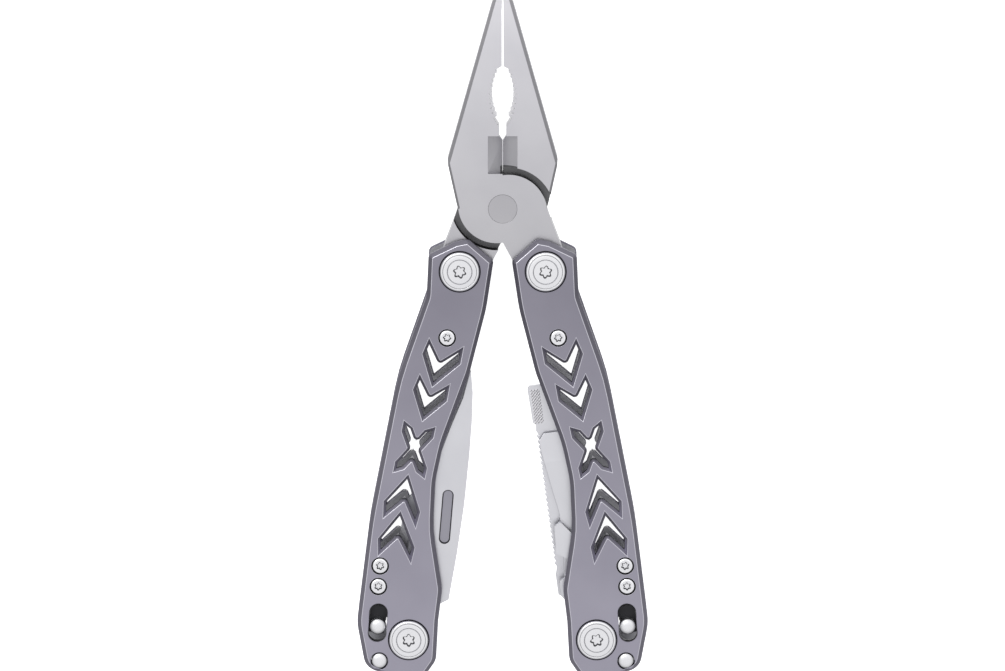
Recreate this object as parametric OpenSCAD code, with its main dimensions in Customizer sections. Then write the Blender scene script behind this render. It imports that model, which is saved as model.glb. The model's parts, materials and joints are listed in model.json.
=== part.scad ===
// Folding multi tool: needle-nose pliers on two hinged handles, with four folding tools in each handle.
// It lies on its back: +Z is the front face, +Y points to the tip of the pliers.

/* [Handles] */
// Distance from the handle pivot to the tool pivot
handle_reach = 90; // [88:0.2:91]
// Angle of each handle away from the middle line
handle_tilt = 7.85; // [7:0.5:10]
// Thickness of each aluminium scale
scale_t = 2; // [1.6:0.1:2.4]
// Thickness of each steel liner
liner_t = 0.8; // [0.6:0.1:1]
// Width of the bevel round a scale
scale_bevel = 1; // [0.5:0.1:1.2]
// Space between the two liners
channel = 8.6; // [8.4:0.1:9]

/* [Pliers] */
// Reach of the jaws above the rivet
jaw_reach = 51.2; // [49:0.2:54]
// Half width of the head at its widest
head_half = 13.05; // [12:0.1:13.5]
// Diameter of the rivet
rivet_d = 6.8; // [6:0.1:8]
// Space between the closed jaws
jaw_gap = 0.5; // [0.2:0.1:1]
// Pitch of the teeth in the pipe grip
grip_pitch = 1.15; // [1:0.05:2]

/* [Tools] */
// Thickness of each folding tool
tool_t = 1.65; // [1.5:0.05:1.7]
// Thickness of each washer between the tools
washer_t = 0.3; // [0.2:0.05:0.35]
// Reach of the knife from its pivot
knife_reach = 66.4; // [64:0.2:67]
// Reach of the file from its pivot
file_reach = 62; // [60:0.2:64]
// Reach of the pry driver from its pivot
pry_reach = 50.4; // [46:0.2:52]
// Pitch of the saw teeth
saw_pitch = 1.3; // [1.2:0.1:2]

/* [Pivots and lock] */
// Diameter of the pivot screw heads
head_d = 9.4; // [9:0.1:9.8]
// Height of the pivot screw heads
head_h = 0.8; // [0.6:0.1:1]
// Diameter of the pivot barrels
barrel_d = 5; // [4.6:0.1:5.2]
// Radial running clearance in every bore
fit = 0.05; // [0.03:0.01:0.08]
// Diameter of the small scale screws
screw_d = 3.8; // [3.4:0.1:4]
// Diameter of the lock pin
lock_pin_d = 3.9; // [3.6:0.1:4]

/* [Hidden] */
$fn = 48;
left = -1;
right = 1;

// Heights of the stack, from the back screw heads up
back_z = head_h;
inner_z = back_z + scale_t + liner_t;
top_z = inner_z + channel;
front_z = top_z + liner_t + scale_t;
mid_z = (inner_z + top_z) / 2;
total_h = front_z + head_h;

// Places in the plane of the tool
handle_foot = 99.6;
rivet_y = 31.24;
pivot_at = [10.2, -14.6];
tool_at = [0, -handle_reach];
lock_at = tool_at + [7.8, 2.2];
stop_at = tool_at + [6.3, -6.1];
slot_at = tool_at + [7.9, 3.1];
slot_l = 9.3;
slot_w = 4.3;
top_screw_at = [0.8, -16.2];
post_at = [tool_at + [9.2, 16.9], tool_at + [8.95, 11.9]];
small_screws = concat([top_screw_at], post_at);

// Colours
anodised = [0.58, 0.57, 0.62];
steel = [0.78, 0.78, 0.80];
bright = [0.90, 0.90, 0.92];
dark = [0.30, 0.30, 0.32];
bronze = [0.66, 0.50, 0.30];

// ---- Outlines ----

function unit(v) = v / norm(v);
function turned(v, a) = [v[0] * cos(a) - v[1] * sin(a), v[0] * sin(a) + v[1] * cos(a)];
function side_of(u, v) = u[0] * v[1] - u[1] * v[0];

// One corner b between a and c, rounded with the radius in its third value
function corner(a, b, c) =
    let (at = [b[0], b[1]], u = unit([a[0], a[1]] - at), v = unit([c[0], c[1]] - at))
    let (r = len(b) > 2 ? b[2] : 0, half = acos(u * v) / 2)
    let (mid = at + unit(u + v) * r / sin(half), first = at + u * r / tan(half) - mid)
    let (turn = (180 - 2 * half) * (side_of(u, v) > 0 ? -1 : 1), steps = ceil(abs(turn) / 12) + 1)
    r == 0 ? [at] : [for (i = [0 : steps]) mid + turned(first, turn * i / steps)];

function rounded(pts) =
    let (n = len(pts))
    [for (i = [0 : n - 1]) each corner(pts[(i + n - 1) % n], pts[i], pts[(i + 1) % n])];

function area(pts) = let (n = len(pts)) [for (i = [0 : n - 1]) side_of(pts[i], pts[(i + 1) % n])] * [for (p = pts) 0.5];

// The outline moved inwards by d, or by each point's own value in a list
function inset(pts, d) =
    let (n = len(pts), way = area(pts) > 0 ? 1 : -1)
    [for (i = [0 : n - 1])
        let (u = unit(pts[i] - pts[(i + n - 1) % n]), v = unit(pts[(i + 1) % n] - pts[i]))
        let (p = [-u[1], u[0]], q = [-v[1], v[0]])
        pts[i] + (p + q) / (1 + p * q) * way * (is_list(d) ? d[i] : d)];

// A handle seen from the front, its pivot at the origin, +X to the outer side
handle_line = rounded([
    [-7.65, 3.5, 1.2], [-1.05, 7.85, 1.2], [1.93, 6.85, 1.2], [7.9, 2.9, 1.5], [7.0, -7.0, 5],
    [11.2, -27.6, 60], [13.2, -62.4, 90], [12.9, -87.6, 12], [9.4, -98.2, 4], [3.5, -handle_foot, 6],
    [-4.5, -handle_foot, 3], [-7.2, -94.2, 4], [-6.4, -84.6, 6], [-6.3, -76.9, 6],
    [-2.2, -62.9, 30], [-1.1, -50.8, 20], [-1.8, -41.7, 30], [-5.7, -23.8, 12], [-7.5, -8, 30]]);

// Cut-outs along the handle: a chevron pointing to -Y and a pointed bar of the cross
chevron_line = [[4.1, 4.6], [4.6, 0.4], [0, -6.7], [-4.9, 0.7], [-4.4, 5.0], [0, 0]];
bar_line = [[0, 7.6], [1.45, 5.2], [1.45, -5.2], [0, -7.6], [-1.45, -5.2], [-1.45, 5.2]];
chevrons = [[1.7, -21.9, 9, [0, 0], [0, 0]], [2.9, -30.4, 9, [-0.2, -0.35], [0.65, -1]],
    [5.6, -56.7, 181, [-0.4, 1.6], [0, 0]], [5.9, -65.8, 178, [-0.35, 1.4], [0.1, -0.1]]];
// A chevron with the tips of its two arms shifted
function chevron_of(c) = [for (i = [0 : 5])
    chevron_line[i] + (i < 2 ? c[3] : i == 3 || i == 4 ? c[4] : [0, 0])];
cross_at = [4.9, -44];
cross_angles = [35, -27];
cut_bevel = 0.7;

// ---- Shared shapes ----

// Skin between rings of equal and even length. Each end is closed by a ladder of four-sided
// faces, from a point on one side to the matching point on the other side.
module ringed(rings) {
    n = len(rings[0]);
    last = len(rings) - 1;
    polyhedron(
        points = [for (ring = rings) each ring],
        faces = concat(
            [for (i = [0 : n / 2 - 2]) [i, i + 1, n - 2 - i, n - 1 - i]],
            [for (k = [0 : last - 1], i = [0 : n - 1])
                [k * n + i, (k + 1) * n + i, (k + 1) * n + (i + 1) % n, k * n + (i + 1) % n]],
            [for (i = [0 : n / 2 - 2]) [for (j = [n - 1 - i, n - 2 - i, i + 1, i]) last * n + j]]));
}

function at_height(pts, z) = [for (p = pts) [p[0], p[1], z]];
function backwards(list) = [for (i = [len(list) - 1 : -1 : 0]) list[i]];
function leftward(pts) = area(pts) < 0 ? backwards(pts) : pts;

// The chevrons and the cross, cut straight through and larger by a margin
module cut_outs(margin, h) {
    for (c = chevrons)
        translate([c[0], c[1], -1])
            rotate(c[2])
                linear_extrude(h + 2)
                    polygon(inset(chevron_of(c), cut_bevel - margin));
    for (a = cross_angles)
        translate([cross_at[0], cross_at[1], -1])
            rotate(a)
                linear_extrude(h + 2)
                    polygon(inset(bar_line, cut_bevel - margin));
}

module drill(at, d, z0, z1) {
    translate([at[0], at[1], z0])
        cylinder(d = d, h = z1 - z0);
}

module slot(at, l, w, angle, z0, z1) {
    translate([at[0], at[1], z0])
        rotate(angle) {
            translate([-w / 2, -(l - w) / 2, 0])
                cube([w, l - w, z1 - z0]);
            for (end = [-1, 1])
                translate([0, end * (l - w) / 2, 0])
                    cylinder(d = w, h = z1 - z0);
        }
}

// Moves a handle's own frame to its place on one side
module in_handle(side) {
    mirror([side < 0 ? 1 : 0, 0, 0])
        translate([pivot_at[0], rivet_y + pivot_at[1], 0])
            rotate(handle_tilt)
                children();
}

// Turns a shape that is drawn for the front face over to the back face
module on_back() {
    translate([0, 0, total_h])
        mirror([0, 0, 1])
            children();
}

module six_lobe(d, depth) {
    lobe = d * 0.22;
    cylinder(d = d * 0.66, h = depth);
    for (i = [0 : 5])
        rotate(i * 60)
            translate([d / 2 - lobe / 2, 0, 0])
                cylinder(d = lobe, h = depth, $fn = 24);
}

// ---- Handle parts, drawn for the front face where they have one ----

// The outline with its front edge chamfered: the inset outline swept round by a cone
module chamfered_plate() {
    minkowski() {
        linear_extrude(scale_t - scale_bevel)
            polygon(inset(handle_line, scale_bevel));
        cylinder(r1 = scale_bevel, r2 = 0, h = scale_bevel, $fn = 24);
    }
}

module scale_body() {
    difference() {
        chamfered_plate();
        cut_outs(0, scale_t);
        drill([0, 0], barrel_d + 1, -1, scale_t + 1);
        drill(tool_at, barrel_d + 1, -1, scale_t + 1);
        for (at = small_screws) {
            drill(at, screw_d + 0.2, scale_t - 1, scale_t + 1);
            drill(at, 2.2, -1, scale_t);
        }
        drill(stop_at, lock_pin_d + 2 * fit, -1, scale_t + 1);
        slot(slot_at, slot_l, slot_w, -4, -1, scale_t + 1);
    }
}

module front_scale(side) {
    color(anodised)
        in_handle(side)
            translate([0, 0, front_z - scale_t])
                scale_body();
}

module back_scale(side) {
    color(anodised)
        in_handle(side)
            on_back()
                translate([0, 0, front_z - scale_t])
                    scale_body();
}

// The liner follows the scale a little inside its edge
module liner_body() {
    difference() {
        linear_extrude(liner_t)
            polygon(inset(handle_line, 0.35));
        cut_outs(0.2, liner_t);
        drill([0, 0], barrel_d + 2 * fit, -1, liner_t + 1);
        drill(tool_at, barrel_d + 2 * fit, -1, liner_t + 1);
        for (at = small_screws)
            drill(at, 2.2, -1, liner_t + 1);
        drill(stop_at, lock_pin_d + 2 * fit, -1, liner_t + 1);
        slot(slot_at, slot_l, slot_w, -4, -1, liner_t + 1);
    }
}

module front_liner(side) {
    color(steel)
        in_handle(side)
            translate([0, 0, top_z])
                liner_body();
}

module back_liner(side) {
    color(steel)
        in_handle(side)
            on_back()
                translate([0, 0, top_z])
                    liner_body();
}

// Sleeve nut through both liners, held by a screw at each end
module barrel(side, at) {
    color(steel)
        in_handle(side)
            difference() {
                drill(at, barrel_d, inner_z - liner_t, top_z + liner_t);
                drill(at, 2.6, inner_z - liner_t - 1, top_z + liner_t + 1);
            }
}

// Broad low head with a turned ring and a six-lobe recess, and its threaded shank
module pivot_screw() {
    difference() {
        union() {
            translate([0, 0, front_z])
                rotate_extrude()
                    polygon([[0, 0], [head_d / 2, 0], [head_d / 2, head_h * 0.45],
                        [head_d / 2 - 0.5, head_h], [head_d / 2 - 1.6, head_h],
                        [head_d / 2 - 1.9, head_h - 0.2], [0, head_h - 0.2]]);
            translate([0, 0, front_z - scale_t])
                cylinder(d = barrel_d + 0.9, h = scale_t);
            translate([0, 0, mid_z + 0.4])
                cylinder(d = 2.5, h = front_z - scale_t - mid_z - 0.4);
        }
        translate([0, 0, front_z - 0.6])
            six_lobe(2.8, head_h + 1);
    }
}

module screw_pair(side, at) {
    color(bright)
        in_handle(side)
            translate([at[0], at[1], 0]) {
                pivot_screw();
                on_back()
                    pivot_screw();
            }
}

// Countersunk-flush small screw, its shank ending in the liner or in a post
module small_screw(shank) {
    difference() {
        union() {
            translate([0, 0, front_z - 1])
                cylinder(d = screw_d, h = 0.8);
            translate([0, 0, front_z - 1 - shank])
                cylinder(d = 2.1, h = shank);
        }
        translate([0, 0, front_z - 0.7])
            six_lobe(1.9, 2);
    }
}

module small_screw_set(side) {
    color(bright)
        in_handle(side)
            for (i = [0 : 2], back = [false, true])
                translate([small_screws[i][0], small_screws[i][1], 0]) {
                    shank = i == 0 ? scale_t + liner_t - 1 : scale_t + liner_t + 2;
                    if (back)
                        on_back()
                            small_screw(shank);
                    else
                        small_screw(shank);
                }
}

module posts(side) {
    color(steel)
        in_handle(side)
            for (at = post_at)
                difference() {
                    drill(at, 3.9, inner_z, top_z);
                    drill(at, 2.2, inner_z - 1, inner_z + 3.2);
                    drill(at, 2.2, top_z - 3.2, top_z + 1);
                }
}

// Domed rod right through the handle
module domed_pin(at, d, z0, z1) {
    dome = 0.5;
    translate([at[0], at[1], 0])
        rotate_extrude()
            polygon([[0, z0], [d / 2 - 0.9, z0], [d / 2 - 0.3, z0 + dome * 0.4], [d / 2, z0 + dome],
                [d / 2, z1 - dome], [d / 2 - 0.3, z1 - dome * 0.4], [d / 2 - 0.9, z1], [0, z1]]);
}

module stop_pin(side) {
    color(bright)
        in_handle(side)
            domed_pin(stop_at, lock_pin_d, back_z - 0.3, front_z + 0.3);
}

// Heights of the four tools and the five washers in the channel
layer_h = (channel - 4 * tool_t - 5 * washer_t) / 10;
function tool_z(i) = inner_z + (i + 1) * (washer_t + 2 * layer_h) + i * tool_t;
function washer_z(i) = inner_z + layer_h + i * (washer_t + tool_t + 2 * layer_h);

module washers(side) {
    color(bronze)
        in_handle(side)
            for (i = [0 : 4])
                difference() {
                    drill(tool_at, 10, washer_z(i), washer_z(i) + washer_t);
                    drill(tool_at, barrel_d + 2 * fit, washer_z(i) - 1, washer_z(i) + 1);
                }
}

// ---- Lock ----

nose_x = 4.65;
bar_x0 = 6.15;
bar_x1 = 10.1;
bar_y0 = 0.1;
bar_y1 = 6.7;
spring_d = 2.7;

// Bar across the channel, with a nose over the rims of the tools and a bore for its spring
module lock_bar(side) {
    color(steel)
        in_handle(side)
            translate([tool_at[0], tool_at[1], 0])
                difference() {
                    union() {
                        translate([bar_x0, bar_y0, inner_z + 0.15])
                            cube([bar_x1 - bar_x0, bar_y1 - bar_y0, channel - 0.3]);
                        translate([nose_x, 4.2, inner_z + 0.15])
                            cube([bar_x0 - nose_x + 1, bar_y1 - 4.2, channel - 0.3]);
                    }
                    drill(lock_at - tool_at, lock_pin_d - 1.4, inner_z - 1, top_z + 1);
                    translate([8.1, bar_y1 - 2.3, mid_z])
                        rotate([-90, 0, 0])
                            cylinder(d = spring_d + 0.5, h = 4);
                }
}

// Thumb pin through the bar, wider where it shows in the slots
module lock_pin(side) {
    color(bright)
        in_handle(side)
            union() {
                drill(lock_at, lock_pin_d - 1.4, inner_z + 0.1, top_z - 0.1);
                domed_pin(lock_at, lock_pin_d, top_z - 0.1, front_z + 0.6);
                on_back()
                    domed_pin(lock_at, lock_pin_d, top_z - 0.1, front_z + 0.6);
            }
}

// Coil pressed between the bar and the lower post, drawn as stacked rings
module lock_spring(side) {
    wire = 0.5;
    turns = 5;
    reach = 9.9 - 7.6;
    color(dark)
        in_handle(side)
            translate([8.1, tool_at[1] + 9.9 - reach, mid_z])
                rotate([-90, 0, 0])
                    difference() {
                        cylinder(d = spring_d, h = reach);
                        translate([0, 0, -1])
                            cylinder(d = spring_d - 2 * wire, h = reach + 2);
                        for (i = [1 : turns - 1])
                            translate([0, 0, reach * i / turns - 0.05])
                                difference() {
                                    cylinder(d = spring_d + 1, h = 0.1);
                                    translate([0, 0, -1])
                                        cylinder(d = spring_d - 0.3, h = 2);
                                }
                    }
}

// ---- Folding tools: pivot at the origin, +Y towards the jaws, -X to the side they open on ----

module tool_at_layer(side, i) {
    in_handle(side)
        translate([tool_at[0], tool_at[1], tool_z(i)])
            children();
}

// Removes the bore and the two lock notches from a tool drawn round its pivot
module on_pivot() {
    difference() {
        union() {
            cylinder(r = 5.6, h = tool_t);
            children();
        }
        translate([0, 0, -1])
            cylinder(d = barrel_d + 2 * fit, h = tool_t + 2);
        for (a = [0, 180])
            rotate(a)
                translate([4.35, 1.9, -1])
                    cube([4, 8, tool_t + 2]);
    }
}

// Flat blade whose faces are ground back from its outline, by a distance at each point
module ground(line, back) {
    outer = leftward(line);
    low = inset(outer, area(line) < 0 ? backwards(back) : back);
    ringed([at_height(low, 0), at_height(outer, tool_t / 2 - 0.1),
        at_height(outer, tool_t / 2 + 0.1), at_height(low, tool_t)]);
}

module knife(side) {
    tip = knife_reach;
    line = [[4.2, 4], [4.2, 12], [3.0, 14.5], [3.2, 18], [2.9, 28], [1.9, 38], [0.6, 46], [-1.1, 53],
        [-3.4, 60], [-5.9, tip], [-7.1, tip - 5.5], [-7.8, tip - 12], [-8.3, tip - 20],
        [-8.75, 34], [-8.65, 22], [-8.2, 10.4], [-4.1, 7.6], [-4.1, 4]];
    back = [0, 0, 0, 1.9, 2.2, 2.2, 2.2, 2.1, 1.7, 0.05, 0, 0, 0, 0, 0, 0, 0, 0];
    color(steel)
        tool_at_layer(side, 3)
            on_pivot()
                difference() {
                    ground(line, back);
                    slot([-4.9, 30.3], 13.2, 2.7, -3, tool_t - 0.7, tool_t + 1);
                }
}

// Long flat tool with a wedge-shaped working end
module driver_blade(reach, shank, tip, tip_t, wedge) {
    line = [[4.1, 4], [4.1, 9], [shank / 2 + 0.5, 13], [shank / 2 - 0.6, reach - wedge - 3],
        [tip / 2 - 0.6, reach - wedge], [-tip / 2 - 0.6, reach - wedge],
        [-shank / 2 - 1.2, reach - wedge - 3], [-shank / 2 - 1.6, 13], [-4.1, 9], [-4.1, 4]];
    linear_extrude(tool_t)
        polygon(line);
    translate([-0.6, reach - wedge, tool_t / 2])
        rotate([90, 0, 90])
            linear_extrude(tip, center = true)
                polygon([[0, -tool_t / 2], [wedge, -tip_t / 2], [wedge, tip_t / 2], [0, tool_t / 2]]);
}

module flat_driver(side) {
    color(steel)
        tool_at_layer(side, 2)
            on_pivot()
                driver_blade(34.5, 6.4, 6, 0.8, 7);
}

// Flat blade ground to a point, with the two grooves of a cross bit on each face
module cross_driver(side) {
    reach = 35;
    line = [[4.1, 4], [4.1, 9], [2.6, 12.5], [2.4, reach - 6], [0.5, reach - 1], [0.5, reach],
        [-1.7, reach], [-1.7, reach - 1], [-3.6, reach - 6], [-3.8, 12.5], [-4.1, 9], [-4.1, 4]];
    color(steel)
        tool_at_layer(side, 1)
            on_pivot()
                difference() {
                    linear_extrude(tool_t)
                        polygon(line);
                    for (x = [-2.9, 0.9], z = [-0.1, tool_t - 0.35])
                        translate([x, reach - 7, z])
                            cube([0.8, 8, 0.45]);
                }
}

// Hooked blade that lifts a crown cap, with a flat driver tip
module bottle_opener(side) {
    line = rounded([[4.1, 4], [4.1, 10, 2], [5.4, 15, 3], [5.4, 30.5, 1.5], [3.4, 34.8, 0.8],
        [-2.4, 34.8, 0.8], [-4.6, 29.6, 0.8], [-2.9, 28.4, 0.5], [-0.6, 29.2, 1.2],
        [0.7, 25.2, 2.2], [-2.6, 22, 1.2], [-6, 20.6, 1], [-6.4, 12, 1.5], [-4.1, 8, 1], [-4.1, 4]]);
    color(steel)
        tool_at_layer(side, 0)
            on_pivot()
                linear_extrude(tool_t)
                    polygon(line);
}

// Short blade with a beak and a hooked notch below it
module can_opener(side) {
    line = rounded([[4.1, 4], [4.1, 9, 2], [3.0, 13, 3], [2.6, 19.5, 3], [-0.9, 24.0, 2],
        [-4.8, 29.0, 0.4], [-6.35, 28.0, 0.5], [-6.8, 21.6, 0.6], [-3.6, 19.4, 1.2],
        [-3.4, 16.4, 1.2], [-6.9, 14.6, 0.6], [-6.9, 10.8, 0.8], [-4.1, 8, 1], [-4.1, 4]]);
    color(steel)
        tool_at_layer(side, 3)
            on_pivot()
                linear_extrude(tool_t)
                    polygon(line);
}

// Broad blade with a wedge end, and a shank that narrows to the pivot
module pry_driver(side) {
    tip = pry_reach;
    line = [[4.1, 4], [4.1, 12], [3.4, 16], [1.4, 27], [0.2, 40], [-0.7, tip - 3.4], [-0.9, tip],
        [-5.8, tip], [-7.2, tip - 1.6], [-7.1, tip - 4], [-6.6, 43], [-5.9, 38], [-4.8, 31],
        [-4.7, 24], [-5.6, 17], [-5.6, 12], [-4.1, 8], [-4.1, 4]];
    color(steel)
        tool_at_layer(side, 2)
            on_pivot()
                difference() {
                    linear_extrude(tool_t)
                        polygon(line);
                    for (top = [0, 1])
                        translate([-10, tip - 7, top * tool_t])
                            rotate([top ? -4 : 4, 0, 0])
                                translate([0, 0, top ? 0 : -2])
                                    cube([14, 12, 2]);
                }
}

// File with cross-cut faces at its end and saw teeth along the edge it opens on
module file(side) {
    tip = file_reach;
    saw_from = 16;
    saw_to = 51;
    count = floor((saw_to - saw_from) / saw_pitch);
    teeth = [for (i = [0 : count - 1]) each [[-7.6, saw_to - i * saw_pitch],
        [-7.1, saw_to - i * saw_pitch - saw_pitch * 0.75]]];
    line = concat([[4.1, 4], [4.1, 12], [3.2, 16], [2.4, 28], [0.2, 42], [-2.4, 54], [-2.9, tip - 1],
        [-3.4, tip], [-7.8, tip], [-8.3, tip - 0.6], [-8.1, 53], [-7.4, 52.5]],
        teeth, [[-7.7, 15.5], [-7.7, 10.8], [-4.1, 8], [-4.1, 4]]);
    color(steel)
        tool_at_layer(side, 1)
            on_pivot()
                linear_extrude(tool_t)
                    polygon(line);
}

module small_driver(side) {
    color(steel)
        tool_at_layer(side, 0)
            on_pivot()
                driver_blade(33.5, 4.6, 3.4, 0.7, 6);
}

// ---- Pliers: the rivet is at the origin ----

layer_gap = 0.1;
jaw_z0 = inner_z + 0.2;
jaw_z1 = top_z - 0.2;
ring_at = [1.4, -1];
ring_r = 9.2;
ring_gap = 1.7;
shoulder_y = 11.1;

// Teeth of the pipe grip down one side of its oval, from the tip side to the rivet side
grip_top = 33.8;
grip_bottom = 20;
grip_count = floor((grip_top - grip_bottom) / grip_pitch);
function grip_x(y) = -0.7 - 2.0 * pow(sin(180 * (grip_top - y) / (grip_top - grip_bottom)), 0.85);
grip_line = [for (i = [0 : grip_count - 1]) let (y = grip_top - (i + 0.5) * grip_pitch) each
    [[grip_x(y) + 0.2, y + grip_pitch * 0.45], [grip_x(y) - 0.65, y + grip_pitch * 0.05]]];

// The left jaw, from the tip down to the rivet
jaw_line = concat(
    [[-0.06, jaw_reach - 0.3], [-0.4, jaw_reach], [-1.3, jaw_reach], [-2.4, jaw_reach - 1.7],
        [-head_half, shoulder_y + 0.8], [-head_half + 0.1, shoulder_y - 0.8], [-10.9, 1], [-10.6, 0],
        [0, 0], [0, 8], [-0.04, 8.6], [-0.04, 16], [-0.85, 17.2], [-0.85, 19.6]],
    backwards(grip_line),
    [[-jaw_gap / 2, grip_top + 0.3], [-jaw_gap / 2, jaw_reach - 4]]);

// The right tang, from the rivet down to the boss round the handle pivot
tang_line = rounded([[0, 0], [10.6, 0], [11.1, -1.6], [12.2, -4.6], [15.4, -13, 2],
    [14.4, -19, 4], [8, -20.4, 4], [3.4, -17, 3], [2.2, -12, 3], [0.5, -8.9], [0.06, -8]]);

module ring(at, r) {
    translate([at[0], at[1]])
        circle(r = r, $fn = 96);
}

module jaw_front_2d() {
    difference() {
        union() {
            polygon(jaw_line);
            polygon(tang_line);
            intersection() {
                ring(ring_at, ring_r);
                translate([-0.5, -2])
                    square([12, 12]);
            }
            intersection() {
                ring(-ring_at, ring_r);
                translate([-11.5, -10])
                    square([12, 12]);
            }
        }
        circle(d = rivet_d + 2 * fit);
    }
}

module jaw_rear_2d() {
    difference() {
        polygon(jaw_line);
        ring([-ring_at[0], ring_at[1]], ring_r + ring_gap);
    }
    difference() {
        polygon(tang_line);
        ring([ring_at[0], -ring_at[1]], ring_r + ring_gap);
    }
}

// Pocket that leaves a sloping cutting edge beside the middle line
module cutter_pocket(z, way) {
    translate([0, 8.4, z])
        rotate([90, 0, 180])
            linear_extrude(9)
                polygon([[3.5, way * 0.1], [3.5, way * -1.2], [-0.3, way * -3.4], [-0.5, way * 0.1]]);
}

// Bar that bevels a straight edge from one point to the next
module edge_bevel(a, b, z, size) {
    run = b - a;
    translate([a[0], a[1], z])
        rotate([0, 0, atan2(run[1], run[0])])
            rotate([45, 0, 0])
                translate([-1, -size / 2, -size / 2])
                    cube([norm(run) + 2, size, size]);
}

module jaw_half() {
    difference() {
        union() {
            translate([0, 0, mid_z + layer_gap / 2])
                linear_extrude(jaw_z1 - mid_z - layer_gap / 2)
                    jaw_front_2d();
            translate([0, 0, jaw_z0])
                linear_extrude(mid_z + layer_gap / 2 - jaw_z0)
                    jaw_rear_2d();
        }
        drill(pivot_at, barrel_d + 1.6 + 2 * fit, 0, total_h);
        for (z = [jaw_z0, jaw_z1]) {
            edge_bevel([-2.4, jaw_reach - 1.7], [-head_half, shoulder_y + 0.8], z, 1.1);
            edge_bevel([-head_half + 0.1, shoulder_y - 0.8], [-10.9, 1], z, 0.8);
        }
        cutter_pocket(jaw_z1, 1);
        cutter_pocket(jaw_z0, -1);
    }
}

module front_jaw() {
    color(steel)
        translate([0, rivet_y, 0])
            jaw_half();
}

module rear_jaw() {
    color(steel)
        translate([0, rivet_y, 2 * mid_z])
            rotate([0, 180, 0])
                jaw_half();
}

module jaw_rivet() {
    color(bright)
        drill([0, rivet_y], rivet_d, jaw_z0 + 0.02, jaw_z1 + 0.02);
}

// Bronze sleeve between a tang and the handle's pivot barrel
module pivot_bush(side) {
    color(bronze)
        in_handle(side)
            difference() {
                drill([0, 0], barrel_d + 1.6, inner_z + 0.1, top_z - 0.1);
                drill([0, 0], barrel_d + 2 * fit, 0, total_h);
            }
}

front_jaw();
rear_jaw();
jaw_rivet();
pivot_bush(left);  // left_pivot_bush
front_scale(left);  // left_front_scale
back_scale(left);  // left_back_scale
front_liner(left);  // left_front_liner
back_liner(left);  // left_back_liner
barrel(left, [0, 0]);  // left_pivot_barrel
screw_pair(left, [0, 0]);  // left_pivot_screws
barrel(left, tool_at);  // left_tool_barrel
screw_pair(left, tool_at);  // left_tool_screws
small_screw_set(left);  // left_scale_screws
posts(left);  // left_spacer_posts
stop_pin(left);  // left_stop_pin
washers(left);  // left_washers
lock_bar(left);  // left_lock_bar
lock_pin(left);  // left_lock_pin
lock_spring(left);  // left_lock_spring
knife(left);  // left_knife
flat_driver(left);  // left_flat_driver
cross_driver(left);  // left_cross_driver
bottle_opener(left);  // left_bottle_opener
pivot_bush(right);  // right_pivot_bush
front_scale(right);  // right_front_scale
back_scale(right);  // right_back_scale
front_liner(right);  // right_front_liner
back_liner(right);  // right_back_liner
barrel(right, [0, 0]);  // right_pivot_barrel
screw_pair(right, [0, 0]);  // right_pivot_screws
barrel(right, tool_at);  // right_tool_barrel
screw_pair(right, tool_at);  // right_tool_screws
small_screw_set(right);  // right_scale_screws
posts(right);  // right_spacer_posts
stop_pin(right);  // right_stop_pin
washers(right);  // right_washers
lock_bar(right);  // right_lock_bar
lock_pin(right);  // right_lock_pin
lock_spring(right);  // right_lock_spring
can_opener(right);  // right_can_opener
pry_driver(right);  // right_pry_driver
file(right);  // right_file
small_driver(right);  // right_small_driver
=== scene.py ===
import bpy
import bmesh
import json
import math
from mathutils import Matrix, Vector


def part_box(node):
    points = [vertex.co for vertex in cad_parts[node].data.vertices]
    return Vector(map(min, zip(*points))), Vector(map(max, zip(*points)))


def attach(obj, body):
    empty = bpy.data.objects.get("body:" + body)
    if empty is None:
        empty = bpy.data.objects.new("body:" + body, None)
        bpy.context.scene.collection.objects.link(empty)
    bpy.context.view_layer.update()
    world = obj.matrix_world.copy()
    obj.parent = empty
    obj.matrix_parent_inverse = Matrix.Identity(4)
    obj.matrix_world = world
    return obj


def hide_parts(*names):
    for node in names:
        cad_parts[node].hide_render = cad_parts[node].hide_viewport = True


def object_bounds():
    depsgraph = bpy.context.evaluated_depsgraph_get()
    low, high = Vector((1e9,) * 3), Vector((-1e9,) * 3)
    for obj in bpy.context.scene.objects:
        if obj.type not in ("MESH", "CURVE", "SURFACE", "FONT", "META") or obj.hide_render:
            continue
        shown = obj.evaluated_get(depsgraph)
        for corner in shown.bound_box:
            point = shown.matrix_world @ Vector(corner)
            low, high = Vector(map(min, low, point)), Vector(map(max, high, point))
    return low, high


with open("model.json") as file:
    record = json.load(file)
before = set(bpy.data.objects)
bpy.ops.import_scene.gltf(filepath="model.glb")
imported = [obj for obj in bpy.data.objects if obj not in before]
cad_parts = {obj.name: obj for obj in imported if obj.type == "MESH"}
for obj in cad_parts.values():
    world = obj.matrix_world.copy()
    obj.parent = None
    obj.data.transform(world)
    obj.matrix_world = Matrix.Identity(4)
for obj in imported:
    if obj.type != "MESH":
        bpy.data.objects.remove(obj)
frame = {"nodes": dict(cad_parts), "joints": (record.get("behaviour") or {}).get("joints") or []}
nodes = frame["nodes"]
joints = {j["name"]: j for j in frame["joints"]}
cadLow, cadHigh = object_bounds()
mm = 0.001
sides = {"left": -1, "right": 1}
print("frame in, nodes:", len(nodes))


# camera: a long lens, a little toward the tip from straight above

view = {
    "elevation": 99.2,        # degrees, 90 is straight above
    "distance": 1.5,
    "pixelsPerMm": 4.2,       # at the front face
    "aimRight": -0.00004,     # from the rivet
    "aimDown": 0.0304,
}


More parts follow.
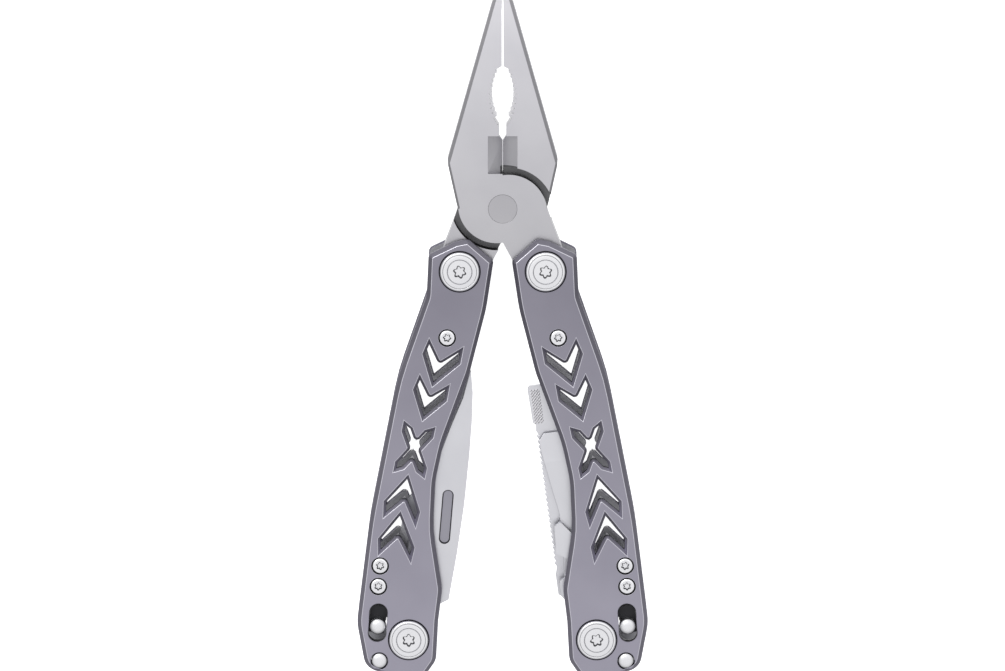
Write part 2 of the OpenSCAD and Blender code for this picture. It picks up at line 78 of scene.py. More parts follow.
def setCamera():
    rivetLow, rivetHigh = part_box("jaw_rivet")
    aim = Vector(((rivetLow.x + rivetHigh.x) / 2 + view["aimRight"],
                  (rivetLow.y + rivetHigh.y) / 2 - view["aimDown"], rivetHigh.z))
    up = math.radians(view["elevation"])
    back = Vector((0, -math.cos(up), math.sin(up)))
    data = bpy.data.cameras.new("camera")
    data.sensor_width = 36
    data.lens = 36 * view["distance"] * view["pixelsPerMm"] / (1005 * mm)
    data.clip_end = 20
    camera = bpy.data.objects.new("camera", data)
    bpy.context.scene.collection.objects.link(camera)
    camera.location = aim + back * view["distance"]
    camera.rotation_euler.x = math.radians(90 - view["elevation"])
    bpy.context.scene.camera = camera


setCamera()
print("camera set")


# floor and light

studio = {
    "floorSize": 3.0,
    "floorGlow": 0.9,
    "zenith": 1.12,
    "horizon": 0.34,
    "tipGlow": 0.45,          # extra light from beyond the jaws
    "keyPower": 2.5,
}


def setStudio():
    scene = bpy.context.scene
    scene.view_settings.view_transform = "Standard"
    mesh = bpy.data.meshes.new("floor")
    s = studio["floorSize"] / 2
    mesh.from_pydata([(-s, -s, 0), (s, -s, 0), (s, s, 0), (-s, s, 0)], [], [(0, 1, 2, 3)])
    floor = bpy.data.objects.new("floor", mesh)
    floor.location.z = cadLow.z - 0.0001
    floor.visible_glossy = False
    scene.collection.objects.link(floor)
    paint = bpy.data.materials.new("floorWhite")
    paint.use_nodes = True
    shader = paint.node_tree.nodes["Principled BSDF"]
    shader.inputs["Base Color"].default_value = (0.8, 0.8, 0.8, 1)
    shader.inputs["Roughness"].default_value = 0.9
    shader.inputs["Emission Color"].default_value = (1, 1, 1, 1)
    shader.inputs["Emission Strength"].default_value = studio["floorGlow"]
    mesh.materials.append(paint)

    world = bpy.data.worlds.new("studio")
    scene.world = world
    world.use_nodes = True
    tree = world.node_tree
    background = tree.nodes["Background"]
    background.inputs["Color"].default_value = (1, 1, 1, 1)
    coords = tree.nodes.new("ShaderNodeTexCoord")
    split = tree.nodes.new("ShaderNodeSeparateXYZ")
    ramp = tree.nodes.new("ShaderNodeMapRange")
    ramp.interpolation_type = "SMOOTHSTEP"
    tree.links.new(coords.outputs["Generated"], split.inputs[0])
    steep = tree.nodes.new("ShaderNodeMath")
    steep.operation = "ABSOLUTE"      # the table below is as pale as the light above
    tree.links.new(split.outputs["Z"], steep.inputs[0])
    tree.links.new(steep.outputs[0], ramp.inputs["Value"])
    ramp.inputs["From Min"].default_value = 0.05
    ramp.inputs["From Max"].default_value = 0.95
    ramp.inputs["To Min"].default_value = studio["horizon"]
    ramp.inputs["To Max"].default_value = studio["zenith"]
    glow = tree.nodes.new("ShaderNodeMapRange")
    glow.inputs["To Max"].default_value = studio["tipGlow"]
    tree.links.new(split.outputs["Y"], glow.inputs["Value"])
    both = tree.nodes.new("ShaderNodeMath")
    tree.links.new(ramp.outputs["Result"], both.inputs[0])
    tree.links.new(glow.outputs["Result"], both.inputs[1])
    tree.links.new(both.outputs[0], background.inputs["Strength"])

    data = bpy.data.lights.new("key", "AREA")
    data.shape = "RECTANGLE"
    data.size = 0.5
    data.size_y = 0.35
    data.energy = studio["keyPower"]
    key = bpy.data.objects.new("key", data)
    key.location = (-0.35, 0.45, 0.75)
    key.rotation_mode = "QUATERNION"
    key.rotation_quaternion = key.location.to_track_quat("Z", "Y")
    scene.collection.objects.link(key)


setStudio()
print("floor and light set")


# metals: colour, roughness, then the grain: its fineness, how much longer it is along the tool, and its depth;
# the brightness ramp is painted light: two places along the tool, in metres, and how bright the colour is at
# each

finishes = {
    "jawSteel": {"colour": (0.50, 0.495, 0.52), "rough": 0.36, "grain": 900, "stretch": 12, "bump": 0.05,
                 "paintedLightFade": (0.014, 0.081, 0.80, 1.18)},
    "rivetSteel": {"colour": (0.385, 0.38, 0.40), "rough": 0.42, "grain": 1200, "stretch": 1, "bump": 0.05},
    "anodised": {"colour": (0.275, 0.265, 0.315), "rough": 0.44, "grain": 2600, "stretch": 1, "bump": 0.10,
                 "paintedLightFade": (0.010, -0.070, 0.85, 1.13)},
    # the bright edge colour: partly a polished edge, partly a painted highlight
    "polishedEdgeAndHighlight": {"colour": (0.62, 0.61, 0.67), "rough": 0.35, "grain": 2600, "stretch": 1, "bump": 0.05},
    "linerSteel": {"colour": (0.40, 0.40, 0.42), "rough": 0.40, "grain": 800, "stretch": 10, "bump": 0.05},
    "screwSteel": {"colour": (0.70, 0.70, 0.72), "rough": 0.26, "grain": 1500, "stretch": 1, "bump": 0.03},
    # painted highlight for the heads' rounded rims; the next colour is painted shade for their recesses and
    # sides
    "screwRimHighlight": {"colour": (0.86, 0.86, 0.88), "rough": 0.22, "grain": 1500, "stretch": 1, "bump": 0.03},
    "screwShade": {"colour": (0.16, 0.16, 0.17), "rough": 0.40, "grain": 1500, "stretch": 1, "bump": 0.03},
    "seatShade": {"colour": (0.035, 0.035, 0.04), "rough": 0.55, "grain": 1500, "stretch": 1, "bump": 0.05},
    "bladeSteel": {"colour": (0.57, 0.57, 0.60), "rough": 0.32, "grain": 900, "stretch": 12, "bump": 0.05},
    "slotSteel": {"colour": (0.29, 0.285, 0.325), "rough": 0.40, "grain": 900, "stretch": 12, "bump": 0.05},
    "fileSteel": {"colour": (0.52, 0.51, 0.53), "rough": 0.42, "grain": 1200, "stretch": 1, "bump": 0.08},
    "blackSteel": {"colour": (0.035, 0.035, 0.038), "rough": 0.45, "grain": 900, "stretch": 1, "bump": 0.05},
    "springSteel": {"colour": (0.20, 0.20, 0.21), "rough": 0.35, "grain": 900, "stretch": 1, "bump": 0.05},
    "bronze": {"colour": (0.52, 0.36, 0.18), "rough": 0.38, "grain": 900, "stretch": 1, "bump": 0.05},
}


def makeFinish(name, facts):
    material = bpy.data.materials.new(name)
    material.use_nodes = True
    tree = material.node_tree
    shader = tree.nodes["Principled BSDF"]
    shader.inputs["Metallic"].default_value = 1.0
    coords = tree.nodes.new("ShaderNodeTexCoord")
    mapping = tree.nodes.new("ShaderNodeMapping")
    mapping.inputs["Scale"].default_value = (facts["stretch"], 1, 1)
    tree.links.new(coords.outputs["Object"], mapping.inputs["Vector"])
    fine = tree.nodes.new("ShaderNodeTexNoise")
    fine.inputs["Scale"].default_value = facts["grain"]
    fine.inputs["Detail"].default_value = 4
    tree.links.new(mapping.outputs["Vector"], fine.inputs["Vector"])
    broad = tree.nodes.new("ShaderNodeTexNoise")
    broad.inputs["Scale"].default_value = 60
    broad.inputs["Detail"].default_value = 3
    tree.links.new(coords.outputs["Object"], broad.inputs["Vector"])

    r, g, b = facts["colour"]
    tone = tree.nodes.new("ShaderNodeValToRGB")
    tone.color_ramp.elements[0].position = 0.3
    tone.color_ramp.elements[0].color = (r * 0.94, g * 0.94, b * 0.95, 1)
    tone.color_ramp.elements[1].position = 0.7
    tone.color_ramp.elements[1].color = (r * 1.04, g * 1.04, b * 1.04, 1)
    tree.links.new(broad.outputs["Fac"], tone.inputs["Fac"])
    tree.links.new(tone.outputs["Color"], shader.inputs["Base Color"])
    # painted light: the colour is made darker at one end of the tool and brighter at the other
    if "paintedLightFade" in facts:
        place = tree.nodes.new("ShaderNodeSeparateXYZ")
        paintedLightFade = tree.nodes.new("ShaderNodeMapRange")
        for socket, value in zip(("From Min", "From Max", "To Min", "To Max"), facts["paintedLightFade"]):
            paintedLightFade.inputs[socket].default_value = value
        paintedLightTone = tree.nodes.new("ShaderNodeVectorMath")
        paintedLightTone.operation = "SCALE"
        tree.links.new(coords.outputs["Object"], place.inputs[0])
        tree.links.new(place.outputs["Y"], paintedLightFade.inputs["Value"])
        tree.links.new(tone.outputs["Color"], paintedLightTone.inputs[0])
        tree.links.new(paintedLightFade.outputs["Result"], paintedLightTone.inputs["Scale"])
        tree.links.new(paintedLightTone.outputs[0], shader.inputs["Base Color"])

    rough = tree.nodes.new("ShaderNodeMapRange")
    rough.inputs["To Min"].default_value = facts["rough"] - 0.06
    rough.inputs["To Max"].default_value = facts["rough"] + 0.06
    tree.links.new(fine.outputs["Fac"], rough.inputs["Value"])
    tree.links.new(rough.outputs["Result"], shader.inputs["Roughness"])

    bump = tree.nodes.new("ShaderNodeBump")
    bump.inputs["Strength"].default_value = facts["bump"]
    bump.inputs["Distance"].default_value = 0.00005
    tree.links.new(fine.outputs["Fac"], bump.inputs["Height"])
    tree.links.new(bump.outputs["Normal"], shader.inputs["Normal"])
    return material


metal = {name: makeFinish(name, facts) for name, facts in finishes.items()}


# painted shade in the lap joint's grooves: a dark ring about each disc's centre, below the flat faces

lap = {"discX": 1.4, "discY": 1.0, "inner": 9.0, "outer": 11.15, "lip": 0.25, "shade": (0.13, 0.13, 0.135)}


def shadeGrooves(material):
    tree = material.node_tree
    rivetLow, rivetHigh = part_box("jaw_rivet")
    centre = (rivetLow + rivetHigh) / 2
    half = (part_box("front_jaw")[1].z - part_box("front_jaw")[0].z) / 2

    def calc(what, a, b=0.0):
        node = tree.nodes.new("ShaderNodeMath")
        node.operation = what
        for socket, value in zip(node.inputs, (a, b)):
            if isinstance(value, float):
                socket.default_value = value
            else:
                tree.links.new(value, socket)
        return node.outputs[0]

    coords = tree.nodes.new("ShaderNodeTexCoord")
    split = tree.nodes.new("ShaderNodeSeparateXYZ")
    tree.links.new(coords.outputs["Object"], split.inputs[0])
    z = calc("SUBTRACT", split.outputs["Z"], centre.z)
    y = calc("SUBTRACT", split.outputs["Y"], centre.y)
    onFloor = calc("LESS_THAN", calc("ABSOLUTE", z), 0.1 * mm)      # a groove's floor lies just past the middle
    facing = calc("MULTIPLY", calc("SIGN", z), calc("SUBTRACT", 1.0, calc("ADD", onFloor, onFloor)))
    x = calc("MULTIPLY", calc("SUBTRACT", split.outputs["X"], centre.x), facing)
    way = calc("SIGN", y)
    dx = calc("SUBTRACT", x, calc("MULTIPLY", way, lap["discX"] * mm))
    dy = calc("ADD", y, calc("MULTIPLY", way, lap["discY"] * mm))
    away = calc("SQRT", calc("ADD", calc("MULTIPLY", dx, dx), calc("MULTIPLY", dy, dy)))
    inRing = calc("MULTIPLY", calc("GREATER_THAN", away, lap["inner"] * mm),
                  calc("LESS_THAN", away, lap["outer"] * mm))
    below = calc("LESS_THAN", calc("ABSOLUTE", z), half - lap["lip"] * mm)
    onSide = calc("GREATER_THAN", calc("MULTIPLY", x, way), -0.6 * mm)
    grooveShadeMask = calc("MULTIPLY", calc("MULTIPLY", inRing, below), onSide)
    shader = tree.nodes["Principled BSDF"]
    tone = shader.inputs["Base Color"].links[0].from_socket
    # painted shade: inside the groove ring the colour is mixed towards a dark grey
    mix = tree.nodes.new("ShaderNodeMix")
    mix.data_type = "RGBA"
    tree.links.new(grooveShadeMask, mix.inputs["Factor"])
    tree.links.new(tone, mix.inputs["A"])
    mix.inputs["B"].default_value = (*lap["shade"], 1)
    tree.links.new(mix.outputs["Result"], shader.inputs["Base Color"])


shadeGrooves(metal["jawSteel"])
print("finishes made:", len(metal))


# helpers for plates and turned parts, in millimetres

def unit(v):
    return v / v.length


def sideOf(u, v):
    return u.x * v.y - u.y * v.x


def rounded(points, step=7):
    line = []
    count = len(points)
    for i, now in enumerate(points):
        at = Vector(now[:2])
        radius = now[2] if len(now) > 2 else 0
        if radius == 0:
            line.append(at)
            continue
        u = unit(Vector(points[i - 1][:2]) - at)
        v = unit(Vector(points[(i + 1) % count][:2]) - at)
        half = math.acos(max(-1, min(1, u.dot(v)))) / 2
        mid = at + unit(u + v) * radius / math.sin(half)
        first = at + u * radius / math.tan(half) - mid
        turn = (math.pi - 2 * half) * (-1 if sideOf(u, v) > 0 else 1)
        steps = max(2, math.ceil(abs(math.degrees(turn)) / step))
        for k in range(steps + 1):
            a = turn * k / steps
            line.append(mid + Vector((first.x * math.cos(a) - first.y * math.sin(a),
                                      first.x * math.sin(a) + first.y * math.cos(a))))
    return line


def areaOf(line):
    return sum(sideOf(line[i - 1], line[i]) for i in range(len(line))) / 2


def inset(line, distance):
    way = 1 if areaOf(line) > 0 else -1
    moved = []
    for i, at in enumerate(line):
        u = unit(at - line[i - 1])
        v = unit(line[(i + 1) % len(line)] - at)
        p, q = Vector((-u.y, u.x)), Vector((-v.y, v.x))
        moved.append(at + (p + q) / (1 + p.dot(q)) * way * distance)
    return moved


def circle(at, radius, count=40):
    return [Vector((at[0] + radius * math.cos(2 * math.pi * k / count),
                    at[1] + radius * math.sin(2 * math.pi * k / count))) for k in range(count)]


def longHole(length, width, steps):
    r, half = width / 2, (length - width) / 2
    line = [Vector((r * math.cos(a), half + r * math.sin(a)))
            for a in (math.pi * k / steps for k in range(steps + 1))]
    return line + [-p for p in line]


def turnedLine(line, angle, at):
    c, s = math.cos(math.radians(angle)), math.sin(math.radians(angle))
    return [Vector((at[0] + p.x * c - p.y * s, at[1] + p.x * s + p.y * c)) for p in line]


def addRing(bm, line, z):
    return [bm.verts.new((p.x, p.y, z)) for p in line]


first, second, third = range(3)      # places in a piece's list of materials


def skin(bm, rings, bands=None):      # bands: the place of the material between one ring and the next
    count = len(rings[0])
    for k in range(len(rings) - 1):
        for i in range(count):
            j = (i + 1) % count
            face = bm.faces.new((rings[k][i], rings[k][j], rings[k + 1][j], rings[k + 1][i]))
            face.material_index = (bands or {}).get(k, first)


def capWith(bm, loops):
    edges = []
    for loop in loops:
        for i in range(len(loop)):
            edges.append(bm.edges.get((loop[i - 1], loop[i])))
    bmesh.ops.triangle_fill(bm, use_beauty=True, edges=edges)


def keepPiece(bm, name, body, materials, sharp=28, weighted=True):
    bmesh.ops.recalc_face_normals(bm, faces=bm.faces)
    mesh = bpy.data.meshes.new(name)
    bm.to_mesh(mesh)
    bm.free()
    for material in materials:
        mesh.materials.append(metal[material])
    for polygon in mesh.polygons:
        polygon.use_smooth = True
    mesh.set_sharp_from_angle(angle=math.radians(sharp))
    piece = bpy.data.objects.new(name, mesh)
    bpy.context.scene.collection.objects.link(piece)
    if weighted:
        normals = piece.modifiers.new("normals", "WEIGHTED_NORMAL")
        normals.keep_sharp = True
    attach(piece, body)
    return piece


# where a handle stands: its own frame has the pivot at the origin, +X outwards and the handle towards -Y

pivotAt = Vector(joints["right_fold"]["pos_m"]) / mm
toolAt = Vector(joints["right_small_driver_open"]["pos_m"]) / mm
reach = (toolAt - pivotAt).length
tilt = math.atan2(toolAt.x - pivotAt.x, pivotAt.y - toolAt.y)
midZ = (cadLow.z + cadHigh.z) / 2 / mm


def handleMatrix(side):
    flip = Matrix.Diagonal((sides[side], 1, 1, 1))
    return (Matrix.Scale(mm, 4) @ flip @ Matrix.Translation((pivotAt.x, pivotAt.y, 0))
            @ Matrix.Rotation(tilt, 4, "Z"))


def backOver():
    return Matrix.Translation((0, 0, 2 * midZ)) @ Matrix.Diagonal((1, 1, -1, 1))


def boxMm(node):
    low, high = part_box(node)
    return low / mm, high / mm


# scales

scale = {
    "outline": [(-7.65, 3.5, 1.25), (-1.05, 7.85, 1.25), (1.93, 6.85, 1.25), (7.9, 2.9, 1.5), (7.0, -7.0, 5),
                (11.2, -27.6, 60), (13.2, -62.4, 90), (12.9, -87.6, 12), (9.4, -98.2, 4), (3.5, -99.6, 6),
                (-4.5, -99.6, 3), (-7.2, -94.2, 4), (-6.4, -84.6, 6), (-6.3, -76.9, 6), (-2.2, -62.9, 30),
                (-1.1, -50.8, 20), (-1.8, -41.7, 30), (-5.7, -23.8, 12), (-7.5, -8, 30)],
    "chamfer": 1.0,
    "chevron": [(4.1, 4.6), (4.6, 0.4), (0, -6.7), (-4.9, 0.7), (-4.4, 5.0), (0, 0, 0.3)],
    "chevronsAt": [      # x, y, angle, and how far the tips of its two arms shift
        (1.7, -21.9, 9, (0, 0), (0, 0)), (2.9, -30.4, 9, (-0.2, -0.35), (0.65, -1)),
        (5.6, -56.7, 181, (-0.4, 1.6), (0, 0)), (5.9, -65.8, 178, (-0.35, 1.4), (0.1, -0.1))],
    "barHalfLength": 7.6, "barShoulder": 5.2, "barHalfWidth": 1.45,
    "barAngles": (35, -27),
    "crossAt": (4.9, -44),
    "cutBevel": 0.7,
    "screwSeat": 2.12, "screwSeatDepth": 1.0,
    "headSeat": 4.95, "headSeatDepth": 0.3,
    "pinHole": 2.1,
    "slotLength": 9.3, "slotWidth": 4.3, "slotAngle": -4,
}
smallScrews = [(0.8, -16.2), (9.2, 16.9 - reach), (8.95, 11.9 - reach)]
stopAt = (6.3, -reach - 6.1)
lockAt = (7.8, 2.2 - reach)
slotAt = (7.9, 3.1 - reach)


def chevronLine(oneArm, otherArm):
    shifts = (oneArm, oneArm, (0, 0), otherArm, otherArm, (0, 0))
    corners = zip(scale["chevron"], shifts)
    return rounded([(x + dx, y + dy, *radius) for (x, y, *radius), (dx, dy) in corners], 15)


def crossLine():
    arms = []
    for angle in (scale["barAngles"][1], scale["barAngles"][0]):
        arms.append(math.radians(90 + angle))
    arms += [a + math.pi for a in arms]
    w = scale["barHalfWidth"]
    points = []
    for i, a in enumerate(arms):
        along, left = Vector((math.cos(a), math.sin(a))), Vector((-math.sin(a), math.cos(a)))
        b = arms[(i + 1) % 4]
        nextLeft = Vector((-math.sin(b), math.cos(b)))
        shoulder = along * scale["barShoulder"]
        tip = along * scale["barHalfLength"]
        points += [tuple(shoulder - left * w), tuple(tip), tuple(shoulder + left * w)]
        det = sideOf(left, nextLeft)
        meet = Vector((w * nextLeft.y + w * left.y, -w * nextLeft.x - w * left.x)) / det
        points.append((*meet, 0.3))
    return rounded(points, 12)


def slotLine(grow=0.0):
    line = longHole(scale["slotLength"] + 2 * grow, scale["slotWidth"] + 2 * grow, 20)
    return turnedLine(line, scale["slotAngle"], slotAt)


def makeScale(side, face):
    low, high = boxMm(side + "_front_scale")
    bottom, top = low.z, high.z
    bm = bmesh.new()
    edge = rounded(scale["outline"])
    c = scale["chamfer"]
    rings = [addRing(bm, inset(edge, d), z) for d, z in (
        (0.10, bottom), (0.03, bottom + 0.07), (0.03, top - c - 0.04), (0.06, top - c + 0.03),
        (c - 0.06, top - 0.06), (c + 0.02, top - 0.015), (c + 0.10, top))]
    # bands 4 and 5, the rounded edge between chamfer and face, take the bright edge colour: polished edge and
    # painted highlight
    skin(bm, rings, {4: second, 5: second})
    lows, highs = [rings[0]], [rings[-1]]

    def cut(steps, bands):
        made = [addRing(bm, line, z) for line, z in steps]
        skin(bm, made, bands)
        highs.append(made[0])
        lows.append(made[-1])

    b = scale["cutBevel"]
    outlines = [turnedLine(chevronLine(*tips), angle, (x, y)) for x, y, angle, *tips in scale["chevronsAt"]]
    outlines.append(turnedLine(crossLine(), 0, scale["crossAt"]))
    # each cut: its top rim takes the bright edge colour, polished edge and painted highlight; its wall below
    # the bevel takes painted shade
    for line in outlines:
        cut([(inset(line, -0.07), top), (inset(line, 0.0), top - 0.02), (inset(line, 0.05), top - 0.06),
             (inset(line, b - 0.02), top - b), (inset(line, b), top - b - 0.05), (inset(line, b), bottom)],
            {0: second, 1: second, 4: third})
    # the seats, the pin hole and the slot: walls and floors take painted shade, and the small seats' top rims
    # take the bright edge colour
    seat, depth = scale["screwSeat"], scale["screwSeatDepth"]
    for at in smallScrews:
        cut([(circle(at, seat + 0.06), top), (circle(at, seat), top - 0.06), (circle(at, seat), top - depth),
             (circle(at, 1.12), top - depth), (circle(at, 1.12), bottom)],
            {0: second, 1: third, 2: third, 3: third})
    seat, depth = scale["headSeat"], scale["headSeatDepth"]
    for at in ((0, 0), (0, -reach)):
        cut([(circle(at, seat + 0.06, 64), top), (circle(at, seat, 64), top - 0.06),
             (circle(at, seat, 64), top - depth), (circle(at, 3.0, 64), top - depth),
             (circle(at, 3.0, 64), bottom)], {1: third, 2: third, 3: third})
    pin = scale["pinHole"]
    cut([(circle(stopAt, pin + 0.08), top), (circle(stopAt, pin), top - 0.08), (circle(stopAt, pin), bottom)],
        {1: third})
    cut([(slotLine(0.12), top), (slotLine(), top - 0.12), (slotLine(), bottom)], {1: third})
    capWith(bm, lows)
    capWith(bm, highs)
    place = handleMatrix(side) @ (backOver() if face == "back" else Matrix())
    bm.transform(place)
    piece = keepPiece(bm, side + "ScalePlate" + face.capitalize(), side + "_handle",
                      ("anodised", "polishedEdgeAndHighlight", "seatShade"))
    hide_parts(side + "_" + face + "_scale")


for side in sides:
    for face in ("front", "back"):
        makeScale(side, face)
print("scales made")


# screw heads and pins, turned on their own axis

heads = {
    "radius": 4.7, "rise": 0.8, "sink": 0.28,
    "grooveAt": 2.9, "grooveDepth": 0.08,
    "lobeRadius": 1.34, "lobeSwing": 0.22, "lobeDepth": 0.75,
    "smallRadius": 1.82, "smallLobe": 0.82, "smallSwing": 0.14,
    "pinRadius": 1.93, "pinRise": 0.75, "stemRadius": 1.2,
}


def turned(bm, profile, lobes=None, count=96, bands=None):
    rings = []
    for r, z, lobed in profile:
        ring = []
        for k in range(count):
            a = 2 * math.pi * k / count
            wave = lobes * math.cos(6 * a) * lobed if lobes else 0
            ring.append(bm.verts.new(((r + wave) * math.cos(a), (r + wave) * math.sin(a), z)))
        rings.append(ring)
    skin(bm, rings, bands)
    bm.faces.new(rings[0])
    bm.faces.new(rings[-1])
    return rings


def bigHead(bm, top):
    r, g = heads["radius"], heads["grooveAt"]
    lobe, deep = heads["lobeRadius"], heads["lobeDepth"]
    bottom = top - heads["rise"] - heads["sink"]
    # the second place paints a highlight on the head's rounded rim; the third paints shade in the lobes, the
    # groove, the dip inside the rim and on the side
    turned(bm, [
        (lobe - 0.30, top - deep, 1), (lobe, top - 0.10, 1), (lobe + 0.07, top - 0.04, 1),
        (1.75, top - 0.04, 0), (g - 0.14, top - 0.04, 0), (g - 0.05, top - 0.04 - heads["grooveDepth"], 0),
        (g + 0.04, top - 0.04 - heads["grooveDepth"], 0), (g + 0.16, top, 0),
        (r - 0.75, top, 0), (r - 0.62, top - 0.05, 0), (r - 0.52, top - 0.02, 0), (r - 0.34, top - 0.03, 0),
        (r - 0.14, top - 0.16, 0), (r - 0.03, top - 0.36, 0), (r, top - 0.5, 0), (r, bottom + 0.02, 0),
        (r - 0.05, bottom, 0), (2.9, bottom, 0), (2.9, bottom - 1.6, 0), (1.25, bottom - 1.6, 0),
        (1.25, bottom - 4.0, 0), (1.05, bottom - 4.2, 0)], heads["lobeSwing"],
        bands={0: third, 5: third, 8: third, 11: second, 12: second, 14: third})


def smallHead(bm, top):
    r, lobe = heads["smallRadius"], heads["smallLobe"]
    # the second place paints a highlight on the rounded rim; the third paints shade in the lobes and on the
    # side
    turned(bm, [
        (lobe - 0.24, top - 0.5, 1), (lobe, top - 0.08, 1), (lobe + 0.06, top, 1),
        (1.15, top + 0.02, 0), (r - 0.35, top, 0), (r - 0.14, top - 0.06, 0), (r - 0.02, top - 0.18, 0),
        (r, top - 0.3, 0), (r, top - 0.86, 0), (1.05, top - 0.88, 0), (1.05, top - 2.6, 0),
        (0.9, top - 2.7, 0)], heads["smallSwing"], count=72,
        bands={0: third, 4: second, 5: second, 7: third})


def dome(bm, bottom, top, radius, rise):
    steps = 9
    profile = [(radius * 0.06, top, 0)]
    for k in range(1, steps + 1):
        a = math.radians(90 * k / steps)
        profile.append((radius * math.sin(a), top - rise * (1 - math.cos(a)), 0))
    profile += [(radius, bottom, 0)]
    turned(bm, profile, count=48)


def addTurned(bm, maker, at, spin, back):
    part = bmesh.new()
    maker(part)
    matrix = Matrix.Translation((at[0], at[1], 0)) @ Matrix.Rotation(math.radians(spin), 4, "Z")
    part.transform((backOver() if back else Matrix()) @ matrix)
    mesh = bpy.data.meshes.new("part")
    part.to_mesh(mesh)
    part.free()
    bm.from_mesh(mesh)
    bpy.data.meshes.remove(mesh)


def makeScrews(side):
    frontFace = boxMm(side + "_front_scale")[1].z
    headTop = boxMm(side + "_pivot_screws")[1].z
    spins = {"left": (8, 21), "right": (14, 3)}      # how far each head is turned, in degrees
    for name, at, spin in (("pivot", (0, 0), spins[side][0]), ("tool", (0, -reach), spins[side][1])):
        bm = bmesh.new()
        for back in (False, True):
            addTurned(bm, lambda part: bigHead(part, headTop), at, spin + 17 * back, back)
        bm.transform(handleMatrix(side))
        piece = keepPiece(bm, side + name.capitalize() + "ScrewHeads", side + "_handle",
                          ("screwSteel", "screwRimHighlight", "screwShade"), 35)
        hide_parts(side + "_" + name + "_screws")
    bm = bmesh.new()
    for i, at in enumerate(smallScrews):
        for back in (False, True):
            addTurned(bm, lambda part: smallHead(part, frontFace - 0.05), at, 13 * i + 20 * back, back)
    bm.transform(handleMatrix(side))
    piece = keepPiece(bm, side + "SmallScrewHeads", side + "_handle",
                      ("screwSteel", "screwRimHighlight", "screwShade"), 35)
    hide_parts(side + "_scale_screws")


def makePins(side):
    stopTop = boxMm(side + "_stop_pin")[1].z
    r, rise = heads["pinRadius"], heads["pinRise"]
    bm = bmesh.new()
    for back in (False, True):
        addTurned(bm, lambda part: dome(part, midZ, stopTop, r, rise), stopAt, 0, back)
    bm.transform(handleMatrix(side))
    piece = keepPiece(bm, side + "StopPinDomes", side + "_handle", ("screwSteel",), 35)
    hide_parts(side + "_stop_pin")
    lockTop = boxMm(side + "_lock_pin")[1].z
    linerTop = boxMm(side + "_front_liner")[0].z
    bm = bmesh.new()
    for back in (False, True):
        addTurned(bm, lambda part: dome(part, linerTop - 0.1, lockTop, r, 1.2 * rise), lockAt, 0, back)
    for back in (False, True):
        addTurned(bm, lambda part: dome(part, midZ, linerTop, heads["stemRadius"], 0.1), lockAt, 0, back)
    bm.transform(handleMatrix(side))
    piece = keepPiece(bm, side + "LockPinDomes", side + "_lock", ("screwSteel",), 35)
    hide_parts(side + "_lock_pin")


for side in sides:
    makeScrews(side)
    makePins(side)
print("screws and pins made")


# lock springs: a round wire wound between the bar and the lower post

spring = {"turns": 5.5, "wire": 0.24, "radius": 1.1, "at": 8.1, "from": 7.62, "to": 9.88, "perTurn": 40}


def makeSpring(side):
    bm = bmesh.new()
    count = int(spring["turns"] * spring["perTurn"])
    rings = []
    for k in range(count + 1):
        t = k / count
        a = 2 * math.pi * spring["turns"] * t
        out = Vector((math.cos(a), 0, math.sin(a)))
        y = -reach + spring["from"] + spring["wire"] + (spring["to"] - spring["from"] - 2 * spring["wire"]) * t
        centre = Vector((spring["at"], y, midZ)) + out * spring["radius"]
        rings.append([bm.verts.new(centre + (out * math.cos(b) + Vector((0, 1, 0)) * math.sin(b))
                                   * spring["wire"]) for b in (2 * math.pi * j / 12 for j in range(12))])
    skin(bm, rings)
    bm.faces.new(rings[0])
    bm.faces.new(rings[-1])
    bm.transform(handleMatrix(side))
    piece = keepPiece(bm, side + "LockCoil", side + "_handle", ("springSteel",), 60, False)
    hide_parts(side + "_lock_spring")


for side in sides:
    makeSpring(side)
print("springs made")


# the file's cross-cut end: rows of small points on both faces

cuts = {"from": 52.6, "tipGap": 0.45, "left": -7.85, "right": -5.2, "pitch": 0.72, "rise": 0.1, "sink": 0.02}


def makeFileCuts():
    low, high = boxMm("right_file")
    tip = (high.y - toolAt.y + 3.4 * math.sin(tilt)) / math.cos(tilt)      # its highest corner is 3.4 inwards
    half = cuts["pitch"] / 2
    rows = int((tip - cuts["tipGap"] - cuts["from"]) / half) - 1
    columns = int((cuts["right"] - cuts["left"]) / cuts["pitch"])
    bm = bmesh.new()
    for face, z in ((1, high.z), (-1, low.z)):
        for row in range(rows):
            for column in range(columns):
                x = cuts["left"] + half * (1 + 2 * column + row % 2)
                y = cuts["from"] + half * (1 + row)
                foot = [bm.verts.new((x + dx, y + dy, z - face * cuts["sink"]))
                        for dx, dy in ((-half, 0), (0, -half), (half, 0), (0, half))]
                peak = bm.verts.new((x, y, z + face * cuts["rise"]))
                bm.faces.new(foot)
                for i in range(4):
                    bm.faces.new((foot[i - 1], foot[i], peak))
    bm.transform(handleMatrix("right") @ Matrix.Translation((0, -reach, 0)))
    keepPiece(bm, "rightFileCuts", "right_file", ("fileSteel",), 20, False)


makeFileCuts()
print("file cuts made")


# the knife's thumb slot: a sunk grey floor inside walls with painted shade

thumbSlot = {
    "at": (-4.9, 30.3), "length": 13.1, "width": 2.6, "angle": -3,
    "depth": 0.68, "lip": 0.05, "wall": 0.22,
}


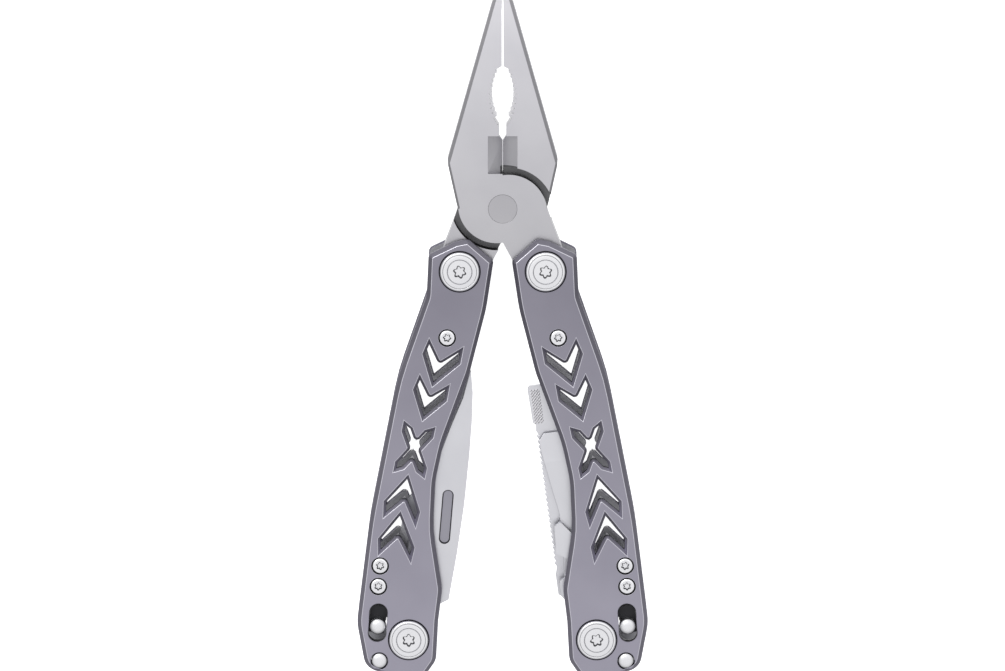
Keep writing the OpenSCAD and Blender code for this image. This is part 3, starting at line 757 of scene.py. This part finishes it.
def makeThumbSlot():
    top = boxMm("left_knife")[1].z
    floorZ = top - thumbSlot["depth"]

    def line(shrink):
        hole = longHole(thumbSlot["length"] - 2 * shrink, thumbSlot["width"] - 2 * shrink, 16)
        return turnedLine(hole, thumbSlot["angle"], thumbSlot["at"])

    bm = bmesh.new()
    rings = [addRing(bm, line(0), floorZ), addRing(bm, line(0), top - thumbSlot["lip"]),
             addRing(bm, line(thumbSlot["wall"] / 3), top - thumbSlot["lip"]),
             addRing(bm, line(thumbSlot["wall"]), floorZ + 0.1)]
    skin(bm, rings, {0: second, 1: second, 2: second})
    bm.faces.new(rings[0])
    bm.faces.new(rings[-1])
    bm.transform(handleMatrix("left") @ Matrix.Translation((0, -reach, 0)))
    keepPiece(bm, "leftKnifeThumbSlot", "left_knife", ("slotSteel", "seatShade"), 30, False)


makeThumbSlot()
print("thumb slot made")


# the CAD nodes that stay, each with its finish and broken edges

edges = {"jaws": 0.00018, "blades": 0.00010, "inner": 0.00006}


def finishFor(node):
    if node in ("front_jaw", "rear_jaw"):
        return "jawSteel"
    if node == "jaw_rivet":
        return "rivetSteel"
    if node.endswith("_scale"):
        return "anodised"
    if node.endswith("lock_bar"):
        return "blackSteel"
    if node.endswith(("liner", "barrel", "posts")):
        return "linerSteel"
    if node.endswith(("screws", "_pin")):
        return "screwSteel"
    if node.endswith(("washers", "bush")):
        return "bronze"
    if node.endswith("spring"):
        return "springSteel"
    return "bladeSteel"


def softEdges(thing, width, segments=2, angle=32):
    weld = thing.modifiers.new("weld", "WELD")
    weld.merge_threshold = 0.000002
    bevel = thing.modifiers.new("edges", "BEVEL")
    bevel.width = width
    bevel.segments = segments
    bevel.limit_method = "ANGLE"
    bevel.angle_limit = math.radians(angle)
    bevel.harden_normals = True
    bevel.use_clamp_overlap = True


for name, thing in nodes.items():
    thing.data.materials.clear()
    thing.data.materials.append(metal[finishFor(name)])
    if name in ("front_jaw", "rear_jaw"):
        softEdges(thing, edges["jaws"])
    elif finishFor(name) == "bladeSteel":
        softEdges(thing, edges["blades"])
    elif name.endswith(("liner", "lock_bar")):
        softEdges(thing, edges["inner"], 1)
print("CAD nodes dressed")
